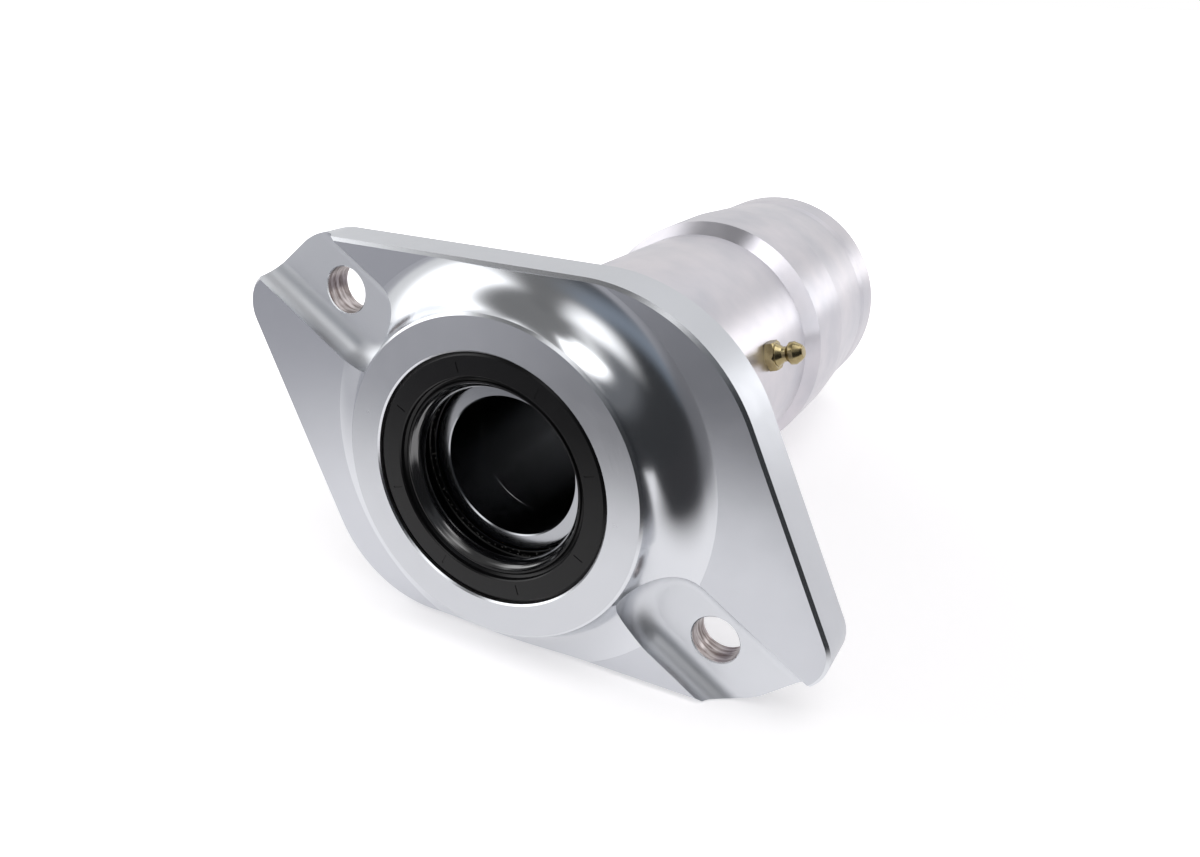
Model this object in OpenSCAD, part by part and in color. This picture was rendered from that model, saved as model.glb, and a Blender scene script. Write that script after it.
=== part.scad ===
// Axle bearing carrier: a billet two-bolt flange and tube with a sealed ball bearing at each end.
// Millimetres. The axle axis is Y and the boss face is y = 0. The tube runs back along +Y,
// and the flange stands on its straight lower edge, which lies along X.

/* [Flange] */
// Axle axis to the straight top and bottom edges
flat_edge = 48.3; // [46:0.1:52]
// Axle axis to the two slanted side edges
slant_edge = 62.4; // [60:0.1:66]
// Lean of the side edges, as the angle of their outward normal above X
slant_angle = 25; // [20:0.5:30]
// Axle axis to the nose edge that ends each bolt lobe
nose_edge = 75.8; // [74:0.1:80]
// Angle of the nose edge's outward normal below X
nose_angle = 50.5; // [47:0.5:54]
// Corner radius between the top edge and the slanted edge beside it
upper_corner_r = 45; // [30:1:46]
// Corner radius between the bottom edge and the slanted edge beside it
lower_corner_r = 33; // [25:1:46]
// Corner radius at the tip of each lobe
lobe_r = 10; // [7:0.5:12]
// Corner radius where each nose edge runs into the straight edge
toe_r = 18; // [12:1:22]
// Thickness of the flange plate
flange_t = 13.1; // [11:0.1:18]
// Chamfer round the front edge of the flange
edge_chamfer = 0.8; // [0.3:0.1:1.5]

/* [Boss] */
// Diameter of the boss face
boss_d = 79; // [76:0.5:84]
// Height of the boss face above the flange face
boss_proud = 10.8; // [9:0.1:13]
// Radius of the concave fillet from the boss rim to the flange face
boss_fillet = 13; // [11:0.5:15]
// Chamfer on the boss rim
rim_chamfer = 0.5; // [0.2:0.1:0.9]
// Chamfer at the mouth of each bearing bore
mouth_chamfer = 0.4; // [0.2:0.1:0.6]

/* [Bolt pockets] */
// Circle through the two bolt hole centres
bolt_pcd = 125; // [122:0.5:128]
// Diameter of the bolt holes
bolt_hole_d = 12; // [10:0.5:13]
// Angle of the line through the bolt holes below X
bolt_angle = 32.8; // [31:0.1:35]
// Width of the milled pocket
pocket_w = 25; // [23:0.5:26]
// Depth of the pocket floor below the flange face
pocket_depth = 5.4; // [4:0.1:7]
// Axle axis to the rounded inner end of the pocket
pocket_inner = 40.4; // [40:0.2:44]
// Fillet between the pocket wall and its floor
pocket_fillet = 6; // [4:0.5:7]

/* [Tube] */
// Boss face to the rear end face
carrier_len = 200; // [190:1:220]
// Diameter of the tube behind the flange
neck_d = 72; // [70:0.5:74]
// Diameter of the clamping seat
seat_d = 78.4; // [76:0.2:80]
// Boss face to the front edge of the clamping seat
seat_start = 130; // [120:1:134]
// Width of the clamping seat
seat_w = 24; // [20:1:28]
// Length of the cone that leads up to the clamping seat
seat_cone = 6; // [3:0.5:9]
// Smallest diameter of the taper behind the seat
waist_d = 74.2; // [73:0.2:75]
// Diameter of the collar at the rear end
collar_d = 75; // [74:0.2:76]
// Width of the collar at the rear end
collar_w = 11; // [8:1:14]
// Length of the ramp from the taper up to the collar
collar_ramp = 3; // [1:0.5:5]
// Chamfer on the rear rim
rear_chamfer = 0.6; // [0.3:0.1:1.2]
// Diameter of the grease space between the two bearings
grease_d = 56; // [54:0.5:58]

/* [Bearings] */
// Bore of the inner race
bearing_bore = 35; // [34:0.5:36]
// Outside diameter of the bearing and the seal
bearing_od = 62; // [61:0.5:63]
// Width of the bearing
bearing_w = 14; // [13:0.5:16]
// Diameter of the balls
ball_d = 7.94; // [7.5:0.02:8.2]
// Number of balls in each bearing
ball_count = 11; // [9:1:11]
// Diameter of the inner race's shoulders
inner_shoulder_d = 43.2; // [42.6:0.1:43.8]
// Diameter of the outer race's shoulders
outer_shoulder_d = 53.3; // [52.8:0.1:54]
// Chamfer on the race corners
race_chamfer = 0.8; // [0.4:0.1:1]
// Gap between a ball and its groove
ball_play = 0.05; // [0.03:0.01:0.08]
// Boss face to the front bearing
front_bearing_depth = 10.2; // [10.2:0.1:12]
// Rear end face to the rear bearing
rear_bearing_depth = 8.2; // [8.2:0.1:10]
// Width of the ball cage
cage_w = 9.8; // [9.4:0.1:10.2]
// Wall of the ball cage
cage_wall = 2; // [1.6:0.1:2.4]
// Gap between a ball and its cage pocket
pocket_play = 0.1; // [0.06:0.01:0.2]
// Thickness of the bearing shields
shield_t = 0.9; // [0.6:0.05:1]
// Depth of the shields below the race face
shield_recess = 0.35; // [0.2:0.05:0.5]
// Radial overlap of the shield in the outer race
shield_bite = 0.65; // [0.4:0.05:0.9]
// Gap between the shield and the inner race
shield_gap = 0.4; // [0.3:0.05:0.6]
// Diameter of the spacer tube
spacer_d = 41; // [40:0.2:42]
// Extra bore of the spacer tube over the bearing bore
spacer_ease = 0.6; // [0.2:0.1:1]

/* [Oil seals] */
// Width of the oil seal
seal_w = 7; // [6.6:0.1:7.2]
// Depth of the seal face below the end face
seal_recess = 0.7; // [0.4:0.1:0.8]
// Inside diameter of the seal's flat face
seal_face_d = 50.6; // [50:0.1:51.2]
// Diameter of the sealing lip
seal_lip_d = 42.8; // [42.4:0.1:43.4]
// Width of the bevel round the seal face
seal_bevel = 1; // [0.5:0.1:1.2]
// Thickness of the rubber over the case
seal_skin = 0.8; // [0.6:0.05:0.9]
// Thickness of the sheet steel case
case_t = 1; // [0.8:0.05:1.2]
// Diameter of the garter spring's coils
garter_d = 1.6; // [1.4:0.1:1.8]
// Number of moulded index lines on the seal face
index_count = 8; // [4:1:12]
// Length of an index line
index_len = 2.5; // [1.5:0.1:3]
// Width of an index line
index_w = 0.35; // [0.2:0.05:0.6]
// Depth of an index line
index_depth = 0.15; // [0.1:0.05:0.3]

/* [Retaining ring] */
// Thickness of the retaining ring
ring_t = 1.9; // [1.6:0.05:1.95]
// Radial width of the retaining ring
ring_w = 3.6; // [3:0.1:4.2]
// Depth of the ring's groove in the bore wall
ring_groove = 1.5; // [1:0.1:1.8]
// Play of the ring in its groove
ring_play = 0.1; // [0.05:0.01:0.2]
// Radius of the ring's lugs
lug_r = 2.7; // [2.4:0.1:2.9]
// Diameter of the hole in each lug
lug_hole_d = 2.2; // [1.6:0.1:2.5]
// Half of the angle across the ring's gap
ring_gap_angle = 13; // [11:1:18]

/* [Grease nipple] */
// Boss face to the nipple axis
nipple_y = 93.3; // [60:0.1:110]
// Angle of the nipple above X
nipple_angle = 17.5; // [0:0.5:60]
// Diameter of the nipple's shank
nipple_shank_d = 6; // [5:0.1:6.4]
// Width across the flats of the nipple's hexagon
nipple_hex = 8; // [7.6:0.1:9]
// Height of the nipple's hexagon
nipple_hex_h = 2.6; // [2:0.1:3.5]
// Height of the nipple above the tube
nipple_h = 10.2; // [9.6:0.1:12]
// Height of the nipple's head with its cone
nipple_head_h = 4.8; // [4:0.1:5.5]
// Diameter of the nipple's head
nipple_head_d = 6.6; // [6.2:0.1:6.8]
// Diameter of the nipple's neck
nipple_neck_d = 4.4; // [4.2:0.1:4.8]
// Diameter of the nipple's check ball
check_ball_d = 2.4; // [2.2:0.05:2.6]
// Bevel on the nipple's shank, hexagon and head
nipple_bevel = 0.5; // [0.3:0.05:0.7]
// Play of the check ball in its bore
check_play = 0.05; // [0.03:0.01:0.08]
// Diameter of the mouth that the check ball closes
check_mouth_d = 1.7; // [1.4:0.05:1.9]

/* [Hidden] */
$fn = 96;
eps = 0.01;
hair = 0.002;

// Levels along the axle axis
flange_face = boss_proud;
flange_back = boss_proud + flange_t;
pocket_floor = flange_face + pocket_depth;
front_shoulder = front_bearing_depth + bearing_w;
rear_shoulder = carrier_len - rear_bearing_depth - bearing_w;
seat_end = seat_start + seat_w;
collar_start = carrier_len - collar_w;

// Radii that several pieces share
bore_r = bearing_od / 2;
pitch_r = (bearing_bore + bearing_od) / 4;
groove_r = ball_d / 2 + ball_play;
inner_shoulder_r = inner_shoulder_d / 2;
outer_shoulder_r = outer_shoulder_d / 2;
shield_seat_r = outer_shoulder_r + shield_bite;
shield_depth = shield_recess + shield_t;
fillet_axis_r = boss_d / 2 + boss_fillet;
fillet_axis_y = boss_proud - boss_fillet;
rim_r = fillet_axis_y < 0 ? fillet_axis_r - sqrt(boss_fillet ^ 2 - fillet_axis_y ^ 2) : boss_d / 2;
pocket_r = pocket_w / 2;
pocket_axis = pocket_inner + pocket_r;
// Angle from the ring's gap to the middle of a lug, which stands inside the bore wall
lug_angle = asin(lug_r / (bore_r - lug_r));

// Section levels of the oil seal: raised bead, sealing lip and garter groove
bead_r = seal_face_d / 2 - 1.8;
bead_y = 1.35;
bead_size = 0.4;
lip_y = 4.95;
lip_fall = 0.35;
garter_r = seal_lip_d / 2 + 2.2;
garter_y = 5.4;
// Radius of the case's inner edge
case_r = seal_face_d / 2 + 0.6;
// Middle radius and first angle of the index lines on the seal face
index_mid = 27.4;
index_start = 28.4;

// Heights above the tube's surface along the nipple
wall_depth = (neck_d - grease_d) / 2;
head_base = nipple_h - nipple_head_h;
head_shoulder = head_base + (nipple_head_d - nipple_neck_d) / 2;
head_crown = (head_shoulder + nipple_h) / 2 - nipple_bevel;
spring_foot = 1.5;
check_seat = nipple_h - 1.2;
check_ball_y = check_seat - sqrt((check_ball_d ^ 2 - check_mouth_d ^ 2) / 4) - check_play;
// Outside diameter of the coil spring, and twice its wire
spring_coil_d = check_ball_d - 0.3;
spring_wire_d = 1;
// Ball centre to the end of the spring that holds it
spring_reach = sqrt(check_ball_d ^ 2 - (spring_coil_d - spring_wire_d) ^ 2) / 2 + 0.02;

// Flange edges in turn, as the angle of the outward normal and the distance from the axle axis
edges = [
    [-nose_angle, nose_edge], [slant_angle, slant_edge], [90, flat_edge],
    [180 - nose_angle, nose_edge], [180 + slant_angle, slant_edge], [270, flat_edge]
];
// Radius of the corner between each edge and the next
corners = [lobe_r, upper_corner_r, toe_r, lobe_r, lower_corner_r, toe_r];
edge_count = len(edges);

function next(i) = (i + 1) % edge_count;
function along(angle, r) = r * [cos(angle), sin(angle)];

// Point where two lines meet, each given by its normal's angle and its distance
function meet(a, da, b, db) =
    [da * sin(b) - db * sin(a), db * cos(a) - da * cos(b)] / sin(b - a);

// Centre of the round corner after edge i
function corner_centre(i) =
    let (a = edges[i], b = edges[next(i)], r = corners[i])
    meet(a[0], a[1] - r, b[0], b[1] - r);

// Points where the round corner after edge i leaves its two edges. They lie a hair inside
// the corner's circle, so that edge and circle cross there and don't just touch.
function corner_ends(i, inset) = [
    for (edge = [edges[i], edges[next(i)]])
        corner_centre(i) + along(edge[0], corners[i] - inset - hair)
];
function straight_outline(inset) = [
    for (i = [0 : edge_count - 1]) for (p = corner_ends(i, inset)) p
];

// Revolves a profile of radius and y about the axle axis
module turned() {
    rotate([-90, 0, 0]) rotate_extrude() children();
}

// Extrudes an outline in x and z from y = a to y = b
module slab(a, b) {
    translate([0, b, 0]) rotate([90, 0, 0]) linear_extrude(b - a) children();
}

// Puts a piece that is made for the front end at the rear end
module at_rear() {
    translate([0, carrier_len, 0]) mirror([0, 1, 0]) children();
}

module flange_outline(inset) {
    polygon(straight_outline(inset));
    for (i = [0 : edge_count - 1]) translate(corner_centre(i)) circle(corners[i] - inset);
}

// Flange plate with its bevelled front edge: a flat-sided core and a turned puck at each corner
module flange_plate() {
    slab(flange_face + edge_chamfer, flange_back) polygon(straight_outline(0));
    hull() {
        slab(flange_face, flange_face + eps) polygon(straight_outline(edge_chamfer));
        slab(flange_face + edge_chamfer, flange_face + edge_chamfer + eps)
            polygon(straight_outline(0));
    }
    for (i = [0 : edge_count - 1]) {
        c = corner_centre(i);
        r = corners[i];
        translate([c[0], 0, c[1]]) turned() polygon([
            [0, flange_face], [r - edge_chamfer, flange_face],
            [r - edge_chamfer, flange_face + eps], [r, flange_face + edge_chamfer],
            [r, flange_back], [0, flange_back]
        ]);
    }
}

module boss_profile() {
    difference() {
        square([fillet_axis_r, boss_proud + eps]);
        translate([fillet_axis_r, fillet_axis_y]) circle(boss_fillet);
        if (fillet_axis_y > 0) translate([boss_d / 2, -eps]) square([boss_fillet, fillet_axis_y + eps]);
        polygon([[rim_r - rim_chamfer, -eps], [rim_r + 1, -eps], [rim_r + 1, rim_chamfer + 1],
            [rim_r, rim_chamfer]]);
    }
}

module tube_profile() {
    polygon([
        [0, flange_back - 1], [neck_d / 2, flange_back - 1],
        [neck_d / 2, seat_start - seat_cone], [seat_d / 2, seat_start],
        [seat_d / 2, seat_end], [waist_d / 2, collar_start - collar_ramp],
        [collar_d / 2, collar_start], [collar_d / 2, carrier_len - rear_chamfer],
        [collar_d / 2 - rear_chamfer, carrier_len], [0, carrier_len]
    ]);
}

// Everything that is bored out of the carrier, from the front mouth to the rear one
module bore_profile() {
    groove_end = front_bearing_depth + eps;
    groove_start = front_bearing_depth - ring_t - 2 * ring_play;
    mouth_r = bore_r + mouth_chamfer;
    groove_floor = bore_r + ring_groove;
    polygon([
        [0, -1], [mouth_r, -1], [mouth_r, 0], [bore_r, mouth_chamfer],
        [bore_r, groove_start], [groove_floor, groove_start],
        [groove_floor, groove_end], [bore_r, groove_end],
        [bore_r, front_shoulder], [grease_d / 2, front_shoulder],
        [grease_d / 2, rear_shoulder], [bore_r, rear_shoulder],
        [bore_r, carrier_len - mouth_chamfer], [mouth_r, carrier_len],
        [mouth_r, carrier_len + 1], [0, carrier_len + 1]
    ]);
}

// Half section of a pocket: a wall that runs into the floor by a fillet
module pocket_profile() {
    wall_foot = pocket_floor - pocket_fillet;
    translate([0, -1]) square([pocket_r, wall_foot + 1]);
    translate([0, wall_foot - eps]) square([pocket_r - pocket_fillet, pocket_fillet + eps]);
    translate([pocket_r - pocket_fillet, wall_foot]) circle(pocket_fillet);
}

// One milled pocket that opens at the lobe's nose, with its bolt hole
module bolt_pocket() {
    run = nose_edge + lobe_r;
    translate([pocket_axis, 0, 0]) {
        turned() intersection() {
            pocket_profile();
            translate([0, -1]) square([pocket_w, pocket_floor + 2]);
        }
        rotate([0, 0, 90]) rotate([90, 0, 0]) linear_extrude(run - pocket_axis) {
            pocket_section();
        }
    }
    translate([bolt_pcd / 2, pocket_floor - 1, 0]) rotate([-90, 0, 0])
        cylinder(h = flange_back - pocket_floor + 2, d = bolt_hole_d);
}

// Full section of a pocket across its length, as y against the distance from its centre plane
module pocket_section() {
    mirror([1, -1]) {
        pocket_profile();
        mirror([1, 0]) pocket_profile();
    }
}

// Stands a piece made along +Z from the axle axis outward at an angle above X
module radial(angle, y) {
    translate([0, y, 0]) rotate([0, 90 - angle, 0]) children();
}

module carrier_body() {
    color([0.80, 0.81, 0.83]) difference() {
        union() {
            flange_plate();
            intersection() {
                turned() boss_profile();
                slab(-1, flange_face + eps) flange_outline(edge_chamfer);
            }
            turned() tube_profile();
        }
        turned() bore_profile();
        for (turn = [0, 180]) rotate([0, bolt_angle + turn, 0]) bolt_pocket();
        radial(nipple_angle, nipple_y) translate([0, 0, (grease_d - nipple_shank_d) / 2])
            cylinder(h = seat_d, d = nipple_shank_d);
    }
}

// Open spring ring in its groove, with a drilled lug at each side of the gap
module front_retaining_ring() {
    outer_r = bore_r + ring_groove - ring_play;
    inner_r = outer_r - ring_w;
    lug_reach = inner_r + ring_w / 2 - lug_r / 2;
    start = front_bearing_depth - ring_t;
    color([0.32, 0.33, 0.35]) slab(start, front_bearing_depth) difference() {
        union() {
            difference() {
                circle(outer_r);
                circle(inner_r);
            }
            for (side = [-1, 1]) translate(lug_reach * lug_direction(side)) circle(lug_r);
        }
        polygon([[0, 0], 2 * outer_r * gap_direction(-1), 2 * outer_r * gap_direction(1)]);
        for (side = [-1, 1]) translate(lug_reach * lug_direction(side)) circle(lug_hole_d / 2);
    }
}
function gap_direction(side) = along(side * ring_gap_angle - 90, 1);
function lug_direction(side) = along(side * (ring_gap_angle + lug_angle) - 90, 1);

module spacer_tube() {
    inside_r = (bearing_bore + spacer_ease) / 2;
    c = race_chamfer / 2;
    color([0.62, 0.63, 0.65]) turned() polygon([
        [inside_r + c, front_shoulder], [spacer_d / 2 - c, front_shoulder],
        [spacer_d / 2, front_shoulder + c], [spacer_d / 2, rear_shoulder - c],
        [spacer_d / 2 - c, rear_shoulder], [inside_r + c, rear_shoulder],
        [inside_r, rear_shoulder - c], [inside_r, front_shoulder + c]
    ]);
}

// Section of the rubber: face, bead, sealing lip, garter groove and the skin over the case
module seal_rubber_profile() {
    face_r = seal_face_d / 2;
    lip_r = seal_lip_d / 2;
    skin_r = bore_r - seal_skin;
    bead_half = bead_size / 2;
    lip_end = garter_y + garter_d / 2;
    difference() {
        polygon([
            [bore_r, seal_bevel * 0.6], [bore_r - seal_bevel, 0], [face_r, 0],
            [face_r - 0.3, 0.3], [face_r - 0.4, bead_y], [face_r - 1, bead_y + bead_size],
            [bead_r + bead_size, bead_y + bead_half], [bead_r + bead_half, bead_y - bead_half],
            [bead_r - bead_half, bead_y - bead_half], [bead_r - bead_size, bead_y + bead_half],
            [lip_r + lip_fall / 2, lip_y - lip_fall], [lip_r, lip_y],
            [lip_r + lip_fall, lip_y + lip_fall], [lip_r + 1, lip_end], [garter_r, lip_end],
            [garter_r + 0.2, garter_y - 1.3], [case_r - 1, bead_y + 1.8],
            [case_r, seal_skin + case_t], [case_r, seal_skin],
            [skin_r, seal_skin], [skin_r, seal_w], [bore_r, seal_w]
        ]);
        translate([garter_r, garter_y]) circle(garter_d / 2);
    }
}
module seal_rubber() {
    color([0.06, 0.06, 0.07]) difference() {
        turned() seal_rubber_profile();
        for (i = [0 : index_count - 1]) rotate([0, i * 360 / index_count - index_start, 0])
            translate([index_mid - index_len / 2, -1, -index_w / 2])
                cube([index_len, 1 + index_depth, index_w]);
    }
}
module seal_case() {
    wall_r = bore_r - seal_skin;
    inner_y = seal_skin + case_t;
    case_end = seal_w - seal_skin / 2;
    color([0.45, 0.46, 0.48]) turned() polygon([
        [case_r, seal_skin], [wall_r, seal_skin], [wall_r, case_end],
        [wall_r - case_t, case_end], [wall_r - case_t, inner_y], [case_r, inner_y]
    ]);
}
module seal_spring() {
    color([0.70, 0.71, 0.72]) turned() translate([garter_r, garter_y]) circle(garter_d / 2);
}
module at_front_seal() {
    translate([0, seal_recess, 0]) children();
}
module front_seal_rubber() {
    at_front_seal() seal_rubber();
}
module front_seal_case() {
    at_front_seal() seal_case();
}
module front_seal_spring() {
    at_front_seal() seal_spring();
}
module rear_seal_rubber() {
    at_rear() at_front_seal() seal_rubber();
}
module rear_seal_case() {
    at_rear() at_front_seal() seal_case();
}
module rear_seal_spring() {
    at_rear() at_front_seal() seal_spring();
}

// Ball groove of the bearing that starts at y = 0
module groove_section() {
    translate([pitch_r, bearing_w / 2]) circle(groove_r);
}
module outer_race() {
    c = race_chamfer;
    step_y = bearing_w - shield_depth;
    color([0.66, 0.67, 0.69]) turned() difference() {
        polygon([
            [shield_seat_r, 0], [bore_r - c, 0], [bore_r, c], [bore_r, bearing_w - c],
            [bore_r - c, bearing_w], [shield_seat_r, bearing_w], [shield_seat_r, step_y],
            [outer_shoulder_r, step_y], [outer_shoulder_r, shield_depth], [shield_seat_r, shield_depth]
        ]);
        groove_section();
    }
}
module inner_race() {
    c = race_chamfer;
    in_r = bearing_bore / 2;
    out_r = inner_shoulder_r;
    color([0.74, 0.75, 0.77]) turned() difference() {
        polygon([
            [in_r + c, 0], [out_r - c, 0], [out_r, c], [out_r, bearing_w - c],
            [out_r - c, bearing_w], [in_r + c, bearing_w], [in_r, bearing_w - c], [in_r, c]
        ]);
        groove_section();
    }
}
module at_balls() {
    for (i = [0 : ball_count - 1]) rotate([0, i * 360 / ball_count, 0])
        translate([pitch_r, bearing_w / 2, 0]) children();
}
module ball_set() {
    color([0.85, 0.86, 0.88]) at_balls() sphere(ball_d / 2);
}
module ball_cage() {
    color([0.72, 0.60, 0.32]) difference() {
        turned() translate([pitch_r - cage_wall / 2, (bearing_w - cage_w) / 2])
            square([cage_wall, cage_w]);
        at_balls() rotate([0, 90, 0])
            cylinder(h = 2 * cage_wall, r = ball_d / 2 + pocket_play, center = true);
    }
}
module shield() {
    color([0.10, 0.10, 0.11]) turned() translate([inner_shoulder_r + shield_gap, shield_recess])
        square([shield_seat_r - inner_shoulder_r - shield_gap, shield_t]);
}
module far_shield() {
    translate([0, bearing_w, 0]) mirror([0, 1, 0]) shield();
}
module at_front_bearing() {
    translate([0, front_bearing_depth, 0]) children();
}
module at_rear_bearing() {
    at_rear() translate([0, rear_bearing_depth, 0]) children();
}
module front_outer_race() {
    at_front_bearing() outer_race();
}
module front_inner_race() {
    at_front_bearing() inner_race();
}
module front_balls() {
    at_front_bearing() ball_set();
}
module front_cage() {
    at_front_bearing() ball_cage();
}
module front_shield_outboard() {
    at_front_bearing() shield();
}
module front_shield_inboard() {
    at_front_bearing() far_shield();
}
module rear_outer_race() {
    at_rear_bearing() outer_race();
}
module rear_inner_race() {
    at_rear_bearing() inner_race();
}
module rear_balls() {
    at_rear_bearing() ball_set();
}
module rear_cage() {
    at_rear_bearing() ball_cage();
}
module rear_shield_outboard() {
    at_rear_bearing() shield();
}
module rear_shield_inboard() {
    at_rear_bearing() far_shield();
}

// Nipple profile of radius and height above the tube's surface: shank, neck and head
module nipple_profile() {
    shank_r = nipple_shank_d / 2;
    head_r = nipple_head_d / 2;
    neck_r = nipple_neck_d / 2;
    polygon([
        [0, -wall_depth], [shank_r - nipple_bevel, -wall_depth],
        [shank_r, nipple_bevel - wall_depth], [shank_r, nipple_hex_h - eps],
        [nipple_hex / 2 - nipple_bevel, nipple_hex_h - eps], [neck_r, head_base - nipple_bevel],
        [neck_r, head_base], [head_r, head_shoulder], [head_r, head_crown],
        [head_r * 0.72, nipple_h - nipple_bevel], [head_r / 2, nipple_h], [0, nipple_h]
    ]);
}
// Passage through the nipple: bore, spring chamber and the mouth that the ball closes
module nipple_passage() {
    chamber_r = check_ball_d / 2 + check_play;
    mouth_r = check_mouth_d / 2;
    polygon([
        [0, -wall_depth - 1], [mouth_r, -wall_depth - 1], [mouth_r, spring_foot],
        [chamber_r, spring_foot], [chamber_r, check_seat], [mouth_r, check_seat],
        [mouth_r, nipple_h + 1], [0, nipple_h + 1]
    ]);
}
module at_nipple() {
    radial(nipple_angle, nipple_y) translate([0, 0, neck_d / 2]) children();
}
module grease_nipple_body() {
    hex_r = nipple_hex / 2 / cos(30);
    color([0.78, 0.66, 0.36]) at_nipple() difference() {
        union() {
            rotate_extrude() nipple_profile();
            intersection() {
                cylinder(h = nipple_hex_h, r = hex_r, $fn = 6);
                cylinder(h = nipple_hex_h, r1 = hex_r + nipple_hex_h - nipple_bevel, r2 = hex_r - nipple_bevel);
            }
        }
        rotate_extrude() nipple_passage();
    }
}
module grease_nipple_ball() {
    color([0.80, 0.81, 0.83]) at_nipple() translate([0, 0, check_ball_y]) sphere(check_ball_d / 2);
}
// Coil spring behind the check ball, as the sleeve that its coils fill
module grease_nipple_spring() {
    height = check_ball_y - spring_reach - spring_foot;
    color([0.60, 0.61, 0.63]) at_nipple() translate([0, 0, spring_foot]) difference() {
        cylinder(h = height, d = spring_coil_d);
        translate([0, 0, -1]) cylinder(h = height + 2, d = spring_coil_d - spring_wire_d);
    }
}

carrier_body();
front_retaining_ring();
spacer_tube();
front_seal_rubber();
front_seal_case();
front_seal_spring();
rear_seal_rubber();
rear_seal_case();
rear_seal_spring();
front_outer_race();
front_inner_race();
front_balls();
front_cage();
front_shield_outboard();
front_shield_inboard();
rear_outer_race();
rear_inner_race();
rear_balls();
rear_cage();
rear_shield_outboard();
rear_shield_inboard();
grease_nipple_body();
grease_nipple_ball();
grease_nipple_spring();
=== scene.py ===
import math

import bmesh
import bpy
from mathutils import Matrix, Vector


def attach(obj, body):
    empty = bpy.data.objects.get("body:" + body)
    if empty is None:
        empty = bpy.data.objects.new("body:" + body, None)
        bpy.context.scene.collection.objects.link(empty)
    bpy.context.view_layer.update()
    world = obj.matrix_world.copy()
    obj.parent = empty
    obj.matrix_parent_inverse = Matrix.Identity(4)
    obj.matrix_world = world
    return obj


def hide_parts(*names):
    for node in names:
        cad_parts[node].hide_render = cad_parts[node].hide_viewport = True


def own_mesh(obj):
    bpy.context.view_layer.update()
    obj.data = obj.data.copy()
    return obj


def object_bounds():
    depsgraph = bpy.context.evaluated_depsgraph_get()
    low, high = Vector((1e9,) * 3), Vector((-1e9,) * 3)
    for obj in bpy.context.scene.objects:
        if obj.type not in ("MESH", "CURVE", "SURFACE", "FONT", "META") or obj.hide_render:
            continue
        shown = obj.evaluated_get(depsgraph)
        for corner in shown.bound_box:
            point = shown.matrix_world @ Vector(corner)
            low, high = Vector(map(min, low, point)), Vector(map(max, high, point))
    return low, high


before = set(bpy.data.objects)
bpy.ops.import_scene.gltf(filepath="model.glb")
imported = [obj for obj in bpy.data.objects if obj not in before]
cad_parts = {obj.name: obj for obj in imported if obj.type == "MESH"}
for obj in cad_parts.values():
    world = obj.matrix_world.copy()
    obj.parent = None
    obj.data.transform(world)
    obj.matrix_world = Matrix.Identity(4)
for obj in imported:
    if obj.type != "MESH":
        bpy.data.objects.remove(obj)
cadLow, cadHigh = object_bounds()

# Axle bearing carrier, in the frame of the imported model: the axle axis is Y, the boss face is
# y = 0 and +Z is up. Sizes in the dictionaries are millimetres and degrees.
mm = 0.001
length = round((cadHigh[1] - cadLow[1]) / mm, 3)


def tick(text):
    print("stage:", text)


def toLinear(hexColour):
    # sRGB hex to the linear colour that a shader socket takes
    channels = [int(hexColour[i:i + 2], 16) / 255 for i in (0, 2, 4)]
    return tuple(c / 12.92 if c <= 0.04045 else ((c + 0.055) / 1.055) ** 2.4 for c in channels) + (1.0,)


def addNode(tree, kind, inputs=None, **settings):
    # a node with its settings; an input takes a value, an output, or a node for its first output
    node = tree.nodes.new(kind if "Node" in kind else "ShaderNode" + kind)
    for name, value in settings.items():
        setattr(node, name, value)
    for key, value in (inputs or {}).items():
        if isinstance(value, bpy.types.Node):
            value = value.outputs[0]
        if isinstance(value, bpy.types.NodeSocket):
            tree.links.new(value, node.inputs[key])
        else:
            node.inputs[key].default_value = value
    return node


def newMaterial(name, colour, roughness, metallic=0.0, **sockets):
    material = bpy.data.materials.new(name)
    material.use_nodes = True
    shader = material.node_tree.nodes["Principled BSDF"]
    shader.inputs["Base Color"].default_value = toLinear(colour)
    shader.inputs["Roughness"].default_value = roughness
    shader.inputs["Metallic"].default_value = metallic
    for key, value in sockets.items():
        shader.inputs[key.replace("_", " ")].default_value = value
    return material, material.node_tree, shader


def grain(tree, size, stretch=(1, 1, 1), detail=3.0):
    # soft grain about size mm wide, drawn out by the stretch factors
    place = addNode(tree, "TexCoord").outputs["Object"]
    spot = addNode(tree, "Mapping", {"Vector": place, "Scale": [1 / s for s in stretch]})
    return addNode(tree, "TexNoise", {"Vector": spot, "Scale": 1 / (size * mm), "Detail": detail,
                                      "Roughness": 0.6})


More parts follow.
